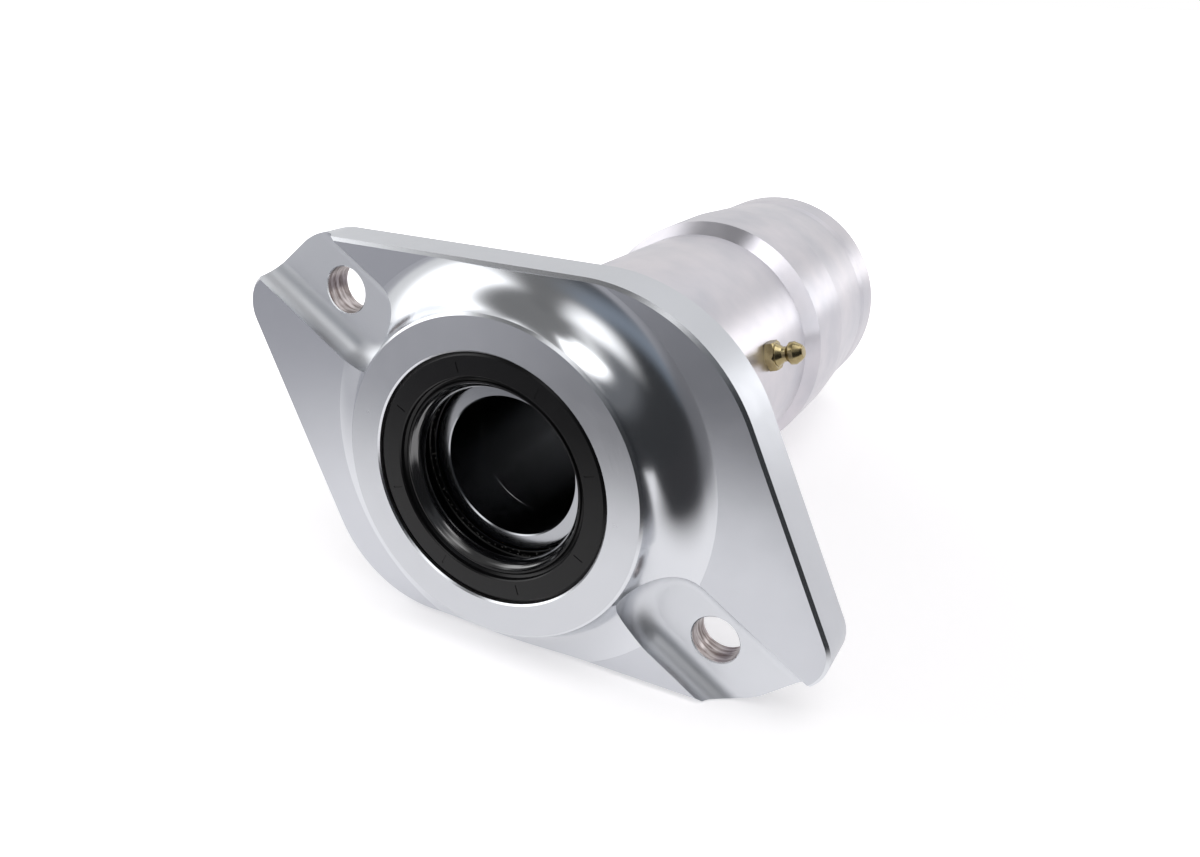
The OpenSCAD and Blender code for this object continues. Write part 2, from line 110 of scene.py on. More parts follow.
def latheMarks(tree, shader, width, streaks=5.0):
    # rings that a lathe tool leaves, width mm apart, and the sheen across them
    place = addNode(tree, "TexCoord").outputs["Object"]
    flat = addNode(tree, "VectorMath", {0: place, 1: (1, 0, 1)}, operation="MULTIPLY")
    radius = addNode(tree, "VectorMath", {0: flat}, operation="LENGTH").outputs["Value"]
    outward = addNode(tree, "VectorMath", {0: flat}, operation="NORMALIZE")
    along = addNode(tree, "SeparateXYZ", {0: place}).outputs["Y"]
    travel = addNode(tree, "Math", {0: radius, 1: along}, operation="ADD")
    steps = addNode(tree, "Math", {0: travel, 1: 1 / (width * mm)}, operation="MULTIPLY")
    around = addNode(tree, "VectorMath", {0: outward, "Scale": streaks}, operation="SCALE")
    parts = addNode(tree, "SeparateXYZ", {0: around})
    spot = addNode(tree, "CombineXYZ", {0: steps, 1: parts.outputs["X"], 2: parts.outputs["Z"]})
    groove = addNode(tree, "VectorMath", {0: outward, 1: (0, 1, 0)}, operation="CROSS_PRODUCT")
    turned = addNode(tree, "VectorTransform", {0: groove}, vector_type="VECTOR",
                     convert_from="OBJECT", convert_to="WORLD")
    normal = addNode(tree, "NewGeometry").outputs["Normal"]
    across = addNode(tree, "VectorMath", {0: normal, 1: turned}, operation="CROSS_PRODUCT")
    tree.links.new(across.outputs[0], shader.inputs["Tangent"])
    return addNode(tree, "TexNoise", {"Vector": spot, "Scale": 1.0, "Detail": 3.0, "Roughness": 0.6})


def relief(tree, shader, height, depth):
    # bump of a given depth in millimetres
    bump = addNode(tree, "Bump", {"Height": height, "Distance": depth * mm, "Strength": 1.0})
    tree.links.new(bump.outputs[0], shader.inputs["Normal"])


def varyRoughness(tree, shader, size, low, high):
    # roughness between two values, in patches about size mm wide
    spread = addNode(tree, "MapRange", {"Value": grain(tree, size), "To Min": low, "To Max": high})
    tree.links.new(spread.outputs[0], shader.inputs["Roughness"])


def tint(tree, shader, pattern, span, dark, light):
    # base colour between two hex colours, over a span of the pattern
    spread = addNode(tree, "MapRange", {"Value": pattern, "From Min": span[0], "From Max": span[1]})
    mix = addNode(tree, "Mix", {0: spread, 6: toLinear(dark), 7: toLinear(light)}, data_type="RGBA")
    tree.links.new(mix.outputs[2], shader.inputs["Base Color"])


def finish(name, colour, roughness, metallic=1.0, rings=None, marks=None, depth=0.0, patches=None,
           stain=None, **sockets):
    # rings: spacing and streaks of lathe rings; marks: size and stretch of a grain; depth: of either;
    # patches: size and range of the roughness; stain: its grain, span and two colours
    material, tree, shader = newMaterial(name, colour, roughness, metallic, **sockets)
    if rings or marks:
        relief(tree, shader, latheMarks(tree, shader, *rings) if rings else grain(tree, *marks), depth)
    if patches:
        varyRoughness(tree, shader, *patches)
    if stain:
        tint(tree, shader, grain(tree, *stain[0]), *stain[1:])
    return material


# Machined aluminium, one finish for each way that a zone of the billet was cut
# boss face and rear rim, faced on a lathe: close rings that pull the light into a soft fan
facedAluminium = finish("facedAluminium", "C8CACE", 0.24, rings=(0.7,), depth=0.006,
                        patches=(6.0, 0.2, 0.3), Anisotropic=0.5)
# concave fillet round the boss, turned with a form tool and buffed: soft-edged mirror
polishedAluminium = finish("polishedAluminium", "D3D5D9", 0.16, rings=(0.6, 1.2), depth=0.0012,
                           patches=(9.0, 0.14, 0.2), Anisotropic=0.35)
# flange faces, fly cut and left: satin grey with a faint upright grain
milledAluminium = finish("milledAluminium", "C6C8CD", 0.24, marks=(0.45, (1, 1, 9)), depth=0.006,
                         patches=(8.0, 0.2, 0.3))
# flange rim, cut by the side of an end mill: matt, with fine streaks through its thickness
profiledAluminium = finish("profiledAluminium", "BFC1C6", 0.34, marks=(0.35, (1, 14, 1)), depth=0.008,
                           patches=(5.0, 0.3, 0.4))
# chamfers, cut by a sharp tool: bright narrow lines
bevelledAluminium = finish("bevelledAluminium", "D6D8DC", 0.2, marks=(0.8, (1, 3, 1)), depth=0.006)
# tube and seat, finish turned: satin rings across the light, with pale clouds of handling
turnedAluminium = finish("turnedAluminium", "C8C6CC", 0.3, rings=(0.8,), depth=0.008,
                         patches=(7.0, 0.25, 0.36), stain=((24.0,), (0.35, 0.65), "BEBDC4", "CFCBD0"),
                         Anisotropic=0.5)
# bearing and seal bores, bored on the lathe: duller, with coarser rings
boredAluminium = finish("boredAluminium", "B7B6B8", 0.28, rings=(0.5,), depth=0.02, Anisotropic=0.4)
# bolt holes: dull and a little stained, with the coarse rings of the drill
drilledAluminium = finish("drilledAluminium", "A39A98", 0.3, marks=(1.1, (12, 1, 12), 4.0), depth=0.05,
                          stain=((0.9, (7, 1, 7), 5.0), (0.4, 0.62), "6F6462", "B9B2B2"))
# moulded nitrile rubber: black satin that still carries a sharp highlight on its edges
sealRubber = finish("sealRubber", "0D0D0E", 0.22, 0.0, marks=(0.25,), depth=0.002,
                    patches=(4.0, 0.18, 0.28), Specular_IOR_Level=0.28)
# the same rubber on the sealing lip, wet with grease: black with a bright sliding highlight
oiledRubber = finish("oiledRubber", "0C0C0E", 0.15, 0.0, marks=(1.2,), depth=0.004,
                     patches=(2.0, 0.1, 0.2), Specular_IOR_Level=1.0, Coat_Weight=1.0,
                     Coat_Roughness=0.12, Coat_IOR=1.7)
# rubber-faced bearing shield, smeared with grease: deep black with a dull sheen
shieldRubber = finish("shieldRubber", "070708", 0.38, 0.0, marks=(0.6,), depth=0.01,
                      Specular_IOR_Level=0.25)
# lithium grease: wet, with small bright glints on the black shield
greaseFilm = finish("greaseFilm", "4A4946", 0.06, 0.0, patches=(0.3, 0.04, 0.12),
                    Specular_IOR_Level=1.0, Coat_Weight=1.0, Coat_IOR=1.8)
# bearing races: through-hardened chrome steel, ground and superfinished: bright, with close rings
groundSteel = finish("groundSteel", "A9ABAF", 0.16, rings=(0.4,), depth=0.002,
                     patches=(5.0, 0.13, 0.2), Anisotropic=0.3)
# bearing balls: lapped chrome steel, a true mirror
ballSteel = finish("ballSteel", "C3C5C8", 0.05, patches=(2.0, 0.04, 0.08))
# machined brass cage: warm yellow metal with fine rings
cageBrass = finish("cageBrass", "C9A24F", 0.28, marks=(0.4, (1, 6, 1)), depth=0.006)
# oiled spring wire and the retaining ring: dark grey-blue metal
springSteel = finish("springSteel", "6C6F75", 0.3, patches=(1.5, 0.25, 0.4))
# pressed sheet steel of the seal case, phosphated: dull mid grey
casingSteel = finish("casingSteel", "84868A", 0.5, marks=(0.3,), depth=0.006)
# drawn steel spacer tube, turned to length: mirror with faint rings; its grey is partly the steel's own and
# partly painted shade, darkened so that the deep bore reads dark
spacerSteel = finish("spacerSteel", "8E8F91", 0.2, rings=(0.7, 1.5), depth=0.0015, Anisotropic=0.5)
# grease nipple: steel under yellow passivated zinc, gold with a pale sheen
nippleBrass = finish("nippleBrass", "9D8E68", 0.2, patches=(1.0, 0.14, 0.26),
                     stain=((2.5,), (0.0, 1.0), "7A6844", "BDB088"))

# The billet, as it is turned and milled
carrier = {
    "segments": 256, "overrun": 1.0,
    "faceOuter": 39.1875, "mouthBevel": 0.4, "seatRadius": 37.5, "rearBevel": 0.6, "boreRadius": 31.0,
    "filletCentre": (52.5, -2.2), "filletRadius": 13.0, "filletStart": 167.46, "filletSteps": 40,
    "flangeFace": 10.8, "flangeBack": 23.9, "edgeBevel": 0.8, "backBevel": 0.3, "blankRadius": 100.0,
    # radius and y of the tube with its seat, and of the bores with the retaining ring's groove
    "tubeProfile": [(36, 23.9), (36, 124), (39.2, 130), (39.2, 154), (37.1, 186), (37.5, 189)],
    "boreProfile": [(31, 177.8), (28, 177.8), (28, 24.2), (31, 24.2), (31, 10.21), (32.5, 10.21),
                    (32.5, 8.1), (31, 8.1)],
    "boltAngle": 32.8, "boltRadius": 62.5, "boltHole": 6.0, "boltBevel": 0.25, "boltSegments": 64,
    "pocketHalf": 12.5, "pocketFloor": 16.2, "pocketAxis": 52.9, "pocketEnd": 85.8,
    "pocketFillet": 6.0, "pocketSteps": 16, "pocketTurn": 48,
    # how far the outline cutter stays off the flange's faces, and runs past the ends
    "skim": 0.003, "slack": 0.05, "cutterEnd": 5.0,
    # radius inside which a bore's or bevel's shade follows the lathe
    "latheReach": 42.0,
    # outward normal's angle and distance from the axle axis of each flange edge in turn
    "edges": [(-50.5, 75.8), (25.0, 62.4), (90.0, 48.3), (129.5, 75.8), (205.0, 62.4), (270.0, 48.3)],
    # radius of the corner between each edge and the next
    "corners": [10.0, 45.0, 18.0, 10.0, 33.0, 18.0],
    "cornerStep": 2.5, "cornerMargin": 0.4,
}


def pocketAluminium():
    # bolt pockets, run out with a bull-nose cutter: satin, with lines that follow its path
    material, tree, shader = newMaterial("pocketAluminium", "D8DADE", 0.4, 1.0)
    place = addNode(tree, "TexCoord").outputs["Object"]
    turn = addNode(tree, "Mapping", {"Vector": place, "Scale": [1 / mm] * 3,
                                     "Rotation": (0, -math.radians(carrier["boltAngle"]), 0)})
    parts = addNode(tree, "SeparateXYZ", {0: turn})
    reach = addNode(tree, "Math", {0: parts.outputs["X"]}, operation="ABSOLUTE")
    short = addNode(tree, "Math", {0: carrier["pocketAxis"], 1: reach}, operation="SUBTRACT")
    inner = addNode(tree, "Math", {0: short, 1: 0.0}, operation="MAXIMUM")
    plane = addNode(tree, "CombineXYZ", {0: inner, 1: parts.outputs["Z"], 2: 0.0})
    offset = addNode(tree, "VectorMath", {0: plane}, operation="LENGTH").outputs["Value"]
    travel = addNode(tree, "Math", {0: offset, 1: parts.outputs["Y"]}, operation="ADD")
    spot = addNode(tree, "CombineXYZ", {0: travel, 1: reach, 2: 0.0})
    squeeze = addNode(tree, "Mapping", {"Vector": spot, "Scale": (1.6, 0.06, 1)})
    marks = addNode(tree, "TexNoise", {"Vector": squeeze, "Scale": 1.0, "Detail": 2.0})
    relief(tree, shader, marks, 0.008)
    varyRoughness(tree, shader, 9.0, 0.36, 0.46)
    return material


zoneFinishes = [facedAluminium, polishedAluminium, milledAluminium, profiledAluminium, bevelledAluminium,
                pocketAluminium(), turnedAluminium, boredAluminium, drilledAluminium]
face, fillet, flange, rim, bevel, pocket, tube, bore, hole = range(len(zoneFinishes))


def arc(centre, radius, start, end, steps):
    turn = [math.radians(start + (end - start) * i / steps) for i in range(steps + 1)]
    return [(centre[0] + radius * math.cos(a), centre[1] + radius * math.sin(a)) for a in turn]


def atLevel(points, y):
    # a flat ring of (x, z) points at a distance along the axle axis
    return [(x, y, z) for x, z in points]


def newObject(name, data):
    piece = bpy.data.objects.new(name, data)
    bpy.context.scene.collection.objects.link(piece)
    return piece


def finishMesh(name, tool, materials):
    # closed bmesh in millimetres to an object in metres with outward faces
    bmesh.ops.remove_doubles(tool, verts=tool.verts, dist=1e-5)
    bmesh.ops.recalc_face_normals(tool, faces=tool.faces)
    bmesh.ops.scale(tool, vec=(mm, mm, mm), verts=tool.verts)
    mesh = bpy.data.meshes.new(name)
    tool.to_mesh(mesh)
    tool.free()
    for material in materials:
        mesh.materials.append(material)
    return newObject(name, mesh)


def revolve(name, runs, materials, segments=192, place=Matrix()):
    # turns a closed profile of (radius, y) about Y; runs are (zone, points) in turn round the section
    tool = bmesh.new()
    points = [(zone, p) for zone, run in runs for p in run]
    rings = []
    for i in range(segments):
        a = 2 * math.pi * i / segments
        rings.append([tool.verts.new((p[0] * math.cos(a), p[1], p[0] * math.sin(a))) for _, p in points])
    for i, ring in enumerate(rings):
        after = rings[(i + 1) % segments]
        for j, (zone, p) in enumerate(points):
            k = (j + 1) % len(points)
            if p[0] < 1e-6 and points[k][1][0] < 1e-6:
                continue
            quad = tool.faces.new((ring[j], ring[k], after[k], after[j]))
            quad.material_index = zone
            quad.smooth = True
    bmesh.ops.transform(tool, matrix=place, verts=tool.verts)
    return finishMesh(name, tool, materials)


def loft(name, levels, zones, materials, place=Matrix()):
    # closed solid through rings of equal point count; zones has one index per gap, then the two caps
    tool = bmesh.new()
    rings = [[tool.verts.new(p) for p in ring] for ring in levels]
    count = len(rings[0])
    for low, high, zone in zip(rings, rings[1:], zones):
        for i in range(count):
            j = (i + 1) % count
            quad = tool.faces.new((low[i], low[j], high[j], high[i]))
            quad.material_index = zone
            quad.smooth = True
    for ring, zone in ((rings[0], zones[-2]), (rings[-1], zones[-1])):
        tool.faces.new(ring).material_index = zone
    bmesh.ops.transform(tool, matrix=place, verts=tool.verts)
    return finishMesh(name, tool, materials)


def cut(piece, cutter, operation="DIFFERENCE"):
    modifier = piece.modifiers.new("cut", "BOOLEAN")
    modifier.object = cutter
    modifier.operation = operation
    modifier.solver = "EXACT"
    modifier.material_mode = "INDEX"


def bake(piece, *leftovers):
    # puts the result of the modifiers in the mesh, and removes the cutters
    bpy.context.view_layer.update()
    evaluated = piece.evaluated_get(bpy.context.evaluated_depsgraph_get())
    mesh = bpy.data.meshes.new_from_object(evaluated)
    piece.modifiers.clear()
    old = piece.data
    piece.data = mesh
    mesh.name = piece.name
    bpy.data.meshes.remove(old)
    for cutter in leftovers:
        bpy.data.objects.remove(cutter)
    return piece


def seat(piece, body, node):
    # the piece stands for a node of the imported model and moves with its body
    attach(piece, body)
    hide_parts(node)


def cornerCentre(i):
    edges, corners = carrier["edges"], carrier["corners"]
    (a, da), (b, db) = edges[i], edges[(i + 1) % len(edges)]
    da, db = da - corners[i], db - corners[i]
    a, b = math.radians(a), math.radians(b)
    return ((da * math.sin(b) - db * math.sin(a)) / math.sin(b - a),
            (db * math.cos(a) - da * math.cos(b)) / math.sin(b - a))


def cornerSweep(i):
    # angle where a corner of the flange starts, and how far it turns
    edges = carrier["edges"]
    start = edges[i][0]
    return start, (edges[(i + 1) % len(edges)][0] - start) % 360


def flangeRing(y, inset):
    # outline of the flange at a level, drawn in by inset
    ring = []
    for i, radius in enumerate(carrier["corners"]):
        start, sweep = cornerSweep(i)
        steps = round(sweep / carrier["cornerStep"])
        ring += arc(cornerCentre(i), radius - inset, start, start + sweep, steps)
    return atLevel(ring, y)


def pocketRing(half, y):
    # outline of a pocket at a level: round inner end, open at the nose
    turn = arc((carrier["pocketAxis"], 0), half, 90, 270, carrier["pocketTurn"])
    return atLevel(turn + [(carrier["pocketEnd"], -half), (carrier["pocketEnd"], half)], y)


def exactNormals(piece):
    # gives every face corner the normal of the form that it was cut from
    mesh = piece.data
    cr, cy = carrier["filletCentre"]
    foot = carrier["pocketFloor"] - carrier["pocketFillet"]
    soft = carrier["pocketHalf"] - carrier["pocketFillet"]
    lean = math.radians(carrier["boltAngle"])
    margin = carrier["cornerMargin"]
    normals = [None] * len(mesh.loops)
    for polygon in mesh.polygons:
        flat = polygon.normal.copy()
        level = math.sqrt(max(0.0, 1 - flat.y ** 2))
        zone = polygon.material_index
        for index in polygon.loop_indices:
            p = mesh.vertices[mesh.loops[index].vertex_index].co / mm
            outward = Vector((p.x, 0, p.z)).normalized()
            radius = math.hypot(p.x, p.z)
            normal = flat
            if zone == fillet:
                normal = outward * (cr - radius) + Vector((0, cy - p.y, 0))
            elif zone in (tube, face) or (zone in (bore, bevel) and radius < carrier["latheReach"]):
                side = math.copysign(level, flat.dot(outward))
                normal = outward * side + Vector((0, flat.y, 0))
            elif zone in (bore, hole):
                axis = carrier["boltRadius"] * math.copysign(1, p.x)
                centre = Vector((axis * math.cos(lean), 0, -axis * math.sin(lean)))
                spoke = Vector((p.x, 0, p.z)) - centre
                normal = Vector((0, flat.y, 0)) - spoke.normalized() * level
            elif zone == pocket:
                side = math.copysign(1, p.x)
                u = side * (p.x * math.cos(lean) - p.z * math.sin(lean))
                v = side * (p.x * math.sin(lean) + p.z * math.cos(lean))
                u = min(0.0, u - carrier["pocketAxis"])
                spoke = Vector((u * math.cos(lean) + v * math.sin(lean), 0,
                                -u * math.sin(lean) + v * math.cos(lean))) * side
                reach = spoke.length
                if reach > soft + 1e-3:
                    normal = Vector((0, foot - p.y, 0)) - spoke.normalized() * (reach - soft)
                else:
                    normal = Vector((0, -1, 0))
            elif zone in (rim, bevel) and abs(flat.y) < 0.9:
                angle = math.degrees(math.atan2(flat.z, flat.x))
                for i in range(len(carrier["edges"])):
                    start, sweep = cornerSweep(i)
                    past = (angle - start + 180) % 360 - 180
                    if abs(past) < margin:
                        break
                    if 0 < (angle - start) % 360 < sweep - margin:
                        x, z = cornerCentre(i)
                        spoke = Vector((p.x - x, 0, p.z - z)).normalized()
                        normal = spoke * level + Vector((0, flat.y, 0))
                        break
            normals[index] = normal.normalized()
    mesh.normals_split_custom_set(normals)


def buildCarrier():
    c = carrier
    over, floor, back = c["overrun"], c["pocketFloor"], c["flangeBack"]
    mouth = c["boreRadius"] + c["mouthBevel"]
    arcPoints = arc(c["filletCentre"], c["filletRadius"], c["filletStart"], 90, c["filletSteps"])
    blank = revolve("carrierBillet", [
        (face, [(mouth, 0)]),
        (bevel, [(c["faceOuter"], 0)]),
        (fillet, arcPoints[:-1]),
        (flange, [arcPoints[-1], (c["blankRadius"], c["flangeFace"]), (c["blankRadius"], back)]),
        (tube, c["tubeProfile"]),
        (bevel, [(c["seatRadius"], length - c["rearBevel"])]),
        (face, [(c["seatRadius"] - c["rearBevel"], length)]),
        (bevel, [(mouth, length)]),
        (bore, [(c["boreRadius"], length - c["mouthBevel"])] + c["boreProfile"]),
        (bevel, [(c["boreRadius"], c["mouthBevel"])]),
    ], zoneFinishes, c["segments"])
    level = c["flangeFace"] - c["skim"]
    levels = [(-c["cutterEnd"], c["edgeBevel"]), (level, c["edgeBevel"]), (level + c["edgeBevel"], 0),
              (back - c["backBevel"] + c["slack"], 0), (back + c["slack"], c["backBevel"]),
              (length + 2 * c["cutterEnd"], c["backBevel"])]
    outline = loft("outline", [flangeRing(y, inset) for y, inset in levels],
                   [rim, bevel, rim, bevel, rim, flange, flange], zoneFinishes)
    cut(blank, outline, "INTERSECT")
    curve = c["pocketFillet"]
    section = [(c["pocketHalf"], -over)]
    section += arc((c["pocketHalf"] - curve, floor - curve), curve, 0, 90, c["pocketSteps"])
    wide = c["boltHole"] + c["boltBevel"] + over
    shaft = [(0, floor - over), (wide, floor - over), (c["boltHole"], floor + c["boltBevel"]),
             (c["boltHole"], back - c["boltBevel"]), (wide, back + over), (0, back + over)]
    cutters = []
    for turn in (0, 180):
        place = Matrix.Rotation(math.radians(c["boltAngle"] + turn), 4, "Y")
        cutters.append(loft("pocket", [pocketRing(half, y) for half, y in section],
                            [pocket] * (len(section) + 1), zoneFinishes, place))
        cutters.append(revolve("boltHole", [(bevel, shaft[:2]), (hole, shaft[2:3]), (bevel, shaft[3:])],
                               zoneFinishes, c["boltSegments"],
                               place @ Matrix.Translation((c["boltRadius"], 0, 0))))
    shank, (foot, top) = nipple["shankRadius"], nipple["holeSpan"]
    cutters.append(revolve("nippleHole", [(bore, [(0, foot), (shank, foot), (shank, top), (0, top)])],
                           zoneFinishes, nipple["holeSegments"], nipplePlace()))
    for cutter in cutters:
        cut(blank, cutter)
    bake(blank, outline, *cutters)
    exactNormals(blank)
    seat(blank, "carrier", "carrier_body")


# Grease nipple; heights are above the tube's surface, and holeSpan is from the axle axis
nipple = {
    "y": 93.3, "angle": 17.5, "tubeRadius": 36.0, "wallDepth": 8.0, "shankRadius": 3.0,
    "holeSpan": (25, 50), "holeSegments": 48,
    "hexHalf": 4.0, "hexHeight": 2.6, "bevel": 0.5, "hair": 0.01, "crownRadius": 9.0,
    "neckFoot": 4.3, "neckTop": 5.4, "neckRadius": 2.2, "headRadius": 3.3, "headShoulder": 6.5,
    "headCrown": 7.85, "tipRadius": 1.65, "tipBevel": 0.6, "height": 10.2, "softEdge": 0.25,
    "mouthRadius": 0.85, "tipMouth": 0.5, "chamberRadius": 1.25, "ballSeat": 9.0, "seatSlope": 0.4,
    "passageFoot": -9.0, "passageTop": 9.0,
    "springFoot": 1.5, "springHeight": 5.487, "coilRadius": 0.8, "wireRadius": 0.24, "coils": 7.0,
    "ballLift": 0.8,
}


def nipplePlace():
    # a piece made along +Y from the axle axis stands out along the nipple's own axis
    angle = math.radians(nipple["angle"])
    out = Vector((math.cos(angle), 0, math.sin(angle)))
    side = Vector((0, 1, 0)).cross(out)
    turn = Matrix((Vector((0, 1, 0)), out, side)).transposed().to_4x4()
    return Matrix.Translation((0, nipple["y"], 0)) @ turn


buildCarrier()
tick("carrier")


def soften(points, radius, steps=4):
    # rounds every corner of a closed section, as far as its neighbours leave room
    ring = []
    for i, p in enumerate(points):
        here = Vector(p)
        back, ahead = Vector(points[i - 1]) - here, Vector(points[(i + 1) % len(points)]) - here
        angle = back.angle(ahead)
        reach = min(radius / math.tan(angle / 2), 0.4 * back.length, 0.4 * ahead.length)
        start, end = here + back.normalized() * reach, here + ahead.normalized() * reach
        for k in range(steps + 1):
            t = k / steps
            ring.append(tuple((1 - t) ** 2 * start + 2 * t * (1 - t) * here + t ** 2 * end))
    return ring


def crisp(piece, limit=32.0):
    # smooth faces with their sharp edges kept, and flats that stay flat beside a rounded edge
    tool = bmesh.new()
    tool.from_mesh(piece.data)
    for f in tool.faces:
        f.smooth = True
    for e in tool.edges:
        e.smooth = len(e.link_faces) == 2 and e.calc_face_angle(0) < math.radians(limit)
    tool.to_mesh(piece.data)
    tool.free()
    modifier = piece.modifiers.new("evenLight", "WEIGHTED_NORMAL")
    modifier.keep_sharp = True
    return bake(piece)


def atEnd(points, rear):
    # a section made for the front end, or the same one turned round for the rear end
    return [(r, length - y) for r, y in points] if rear else points


def turnedPiece(name, section, material, rear=False):
    return crisp(revolve(name, [(0, atEnd(section, rear))], [material]))


def growTree(name, build, sizes):
    # Geometry Nodes tree with a named number for each size; build returns the geometry to realise
    tree = bpy.data.node_groups.new(name, "GeometryNodeTree")
    tree.interface.new_socket("Geometry", in_out="OUTPUT", socket_type="NodeSocketGeometry")
    for key, value in sizes.items():
        kind = "NodeSocketInt" if isinstance(value, int) else "NodeSocketFloat"
        tree.interface.new_socket(key, in_out="INPUT", socket_type=kind)
    solid, material = build(tree, addNode(tree, "NodeGroupInput").outputs)
    real = addNode(tree, "GeometryNodeRealizeInstances", {"Geometry": solid})
    smooth = addNode(tree, "GeometryNodeSetShadeSmooth", {"Geometry": real})
    dressed = addNode(tree, "GeometryNodeSetMaterial", {"Geometry": smooth, "Material": material})
    addNode(tree, "NodeGroupOutput", {0: dressed})
    return tree


def grow(name, build, place=Matrix(), **sizes):
    # runs the tree once and keeps its result as a plain mesh
    piece = newObject(name, bpy.data.meshes.new(name))
    tree = growTree(name, build, sizes)
    modifier = piece.modifiers.new("grow", "NODES")
    modifier.node_group = tree
    for item in tree.interface.items_tree:
        if item.in_out == "INPUT":
            modifier[item.identifier] = sizes[item.name]
    bake(piece)
    piece.data.transform(place)
    return piece


def pointsRound(tree, given, angle, radius):
    # points at an angle and radius about the axle axis
    x, z = (addNode(tree, "Math", {0: angle}, operation=way) for way in ("COSINE", "SINE"))
    spoke = addNode(tree, "CombineXYZ", {0: x, 2: z})
    reach = addNode(tree, "VectorMath", {0: spoke, "Scale": radius}, operation="SCALE")
    level = addNode(tree, "CombineXYZ", {1: given["Level"]})
    spot = addNode(tree, "VectorMath", {0: reach, 1: level}, operation="ADD")
    return addNode(tree, "GeometryNodePoints", {"Count": given["Count"], "Position": spot})


def spreadRound(tree, given, shape, lean=0.0):
    # copies of a shape on a circle about the axle axis, each with its own X outward
    index = addNode(tree, "GeometryNodeInputIndex")
    step = addNode(tree, "Math", {0: 2 * math.pi, 1: given["Count"]}, operation="DIVIDE")
    angle = addNode(tree, "Math", {0: index, 1: step, 2: given["Start"]}, operation="MULTIPLY_ADD")
    points = pointsRound(tree, given, angle, given["Radius"])
    back = addNode(tree, "Math", {0: angle, 1: -1.0}, operation="MULTIPLY")
    turn = addNode(tree, "CombineXYZ", {0: lean, 1: back})
    return addNode(tree, "GeometryNodeInstanceOnPoints", {"Points": points, "Instance": shape,
                                                          "Rotation": turn})


# Oil seals: sections of radius and depth below the seal's own face
seal = {
    "recess": 0.7, "outer": 31.0, "width": 7.0, "skin": 0.8, "caseThick": 1.0, "caseInner": 25.9,
    # from the outer edge over the moulded face and bead, down the lip, and up behind the spring
    "moulding": [(31, 0.6), (30, 0), (25.3, 0), (25, 0.3), (24.9, 1.35), (24.3, 1.75), (23.9, 1.55),
                 (23.7, 1.15), (23.3, 1.15), (23.1, 1.55)],
    "lipTop": (23.1, 1.75), "lipTip": (21.58, 4.6), "lipSwell": 0.3, "lipSteps": 8,
    "lipEdge": [(21.4, 4.95), (21.75, 5.3), (22.4, 6.2)],
    "backing": [(23.8, 4.1), (24.9, 3.15), (25.9, 1.8), (25.9, 0.8), (30.2, 0.8), (30.2, 7), (31, 7)],
    "oiledRadius": 23.2, "softEdge": 0.12, "caseEdge": 0.3,
    "garterRing": 23.6, "garterDepth": 5.4, "garterRadius": 0.8, "garterWire": 0.17,
    "garterCoils": 300, "garterLean": 0.2,
    "indexCount": 8, "indexMiddle": 27.4, "indexLength": 2.5, "indexWidth": 0.35, "indexDepth": 0.15,
    "indexStart": 28.4,
}


def buildSeal(end, rear):
    s = seal
    top, tip = Vector(s["lipTop"]), Vector(s["lipTip"])
    swell = (tip - top).orthogonal().normalized() * s["lipSwell"]
    lip = []
    for i in range(1, s["lipSteps"]):
        t = i / s["lipSteps"]
        lip.append(tuple(top.lerp(tip, t) - swell * math.copysign(4 * t * (1 - t), swell.x)))
    section = soften(s["moulding"] + lip + [s["lipTip"]] + s["lipEdge"] + s["backing"], s["softEdge"])
    section = [(r, y + s["recess"]) for r, y in section]
    piece = revolve(end + "SealRubber", [(0, atEnd(section, rear))], [sealRubber, oiledRubber])
    for polygon in piece.data.polygons:
        if math.hypot(polygon.center.x, polygon.center.z) < s["oiledRadius"] * mm:
            polygon.material_index = 1

    def indexBar(tree, given):
        size = addNode(tree, "CombineXYZ", {0: given["Length"], 1: given["Depth"], 2: given["Width"]})
        bar = addNode(tree, "GeometryNodeMeshCube", {"Size": size})
        return spreadRound(tree, given, bar), sealRubber

    level = length - s["recess"] if rear else s["recess"]
    bars = grow(end + "SealIndex", indexBar, Count=s["indexCount"], Radius=s["indexMiddle"] * mm,
                Level=level * mm, Start=math.radians(s["indexStart"]) * (1 if rear else -1),
                Length=s["indexLength"] * mm, Depth=2 * s["indexDepth"] * mm, Width=s["indexWidth"] * mm)
    cut(piece, bars)
    bake(piece, bars)
    seat(crisp(piece, 40.0), "carrier", end + "_seal_rubber")

    def coil(tree, given):
        circle, thin = (
            addNode(tree, "GeometryNodeCurvePrimitiveCircle", {"Resolution": sides, "Radius": given[size]})
            for sides, size in ((10, "Coil"), (4, "Wire")))
        turn = addNode(tree, "GeometryNodeCurveToMesh", {"Curve": circle, "Profile Curve": thin})
        return spreadRound(tree, given, turn, given["Lean"]), springSteel

    depth = s["recess"] + s["garterDepth"]
    spring = grow(end + "GarterSpring", coil, Count=s["garterCoils"], Radius=s["garterRing"] * mm,
                  Level=(length - depth if rear else depth) * mm, Start=0.0,
                  Coil=(s["garterRadius"] - s["garterWire"]) * mm, Wire=s["garterWire"] * mm,
                  Lean=s["garterLean"])
    seat(spring, "carrier", end + "_seal_spring")

    wall, inner, thick = s["outer"] - s["skin"], s["caseInner"], s["caseThick"]
    high, low = s["skin"] + s["recess"], s["width"] - s["skin"] / 2 + s["recess"]
    pressed = [(inner, high), (wall, high), (wall, low), (wall - thick, low), (wall - thick, high + thick),
               (inner, high + thick)]
    seat(turnedPiece(end + "SealCase", soften(pressed, s["caseEdge"]), casingSteel, rear), "carrier",
         end + "_seal_case")


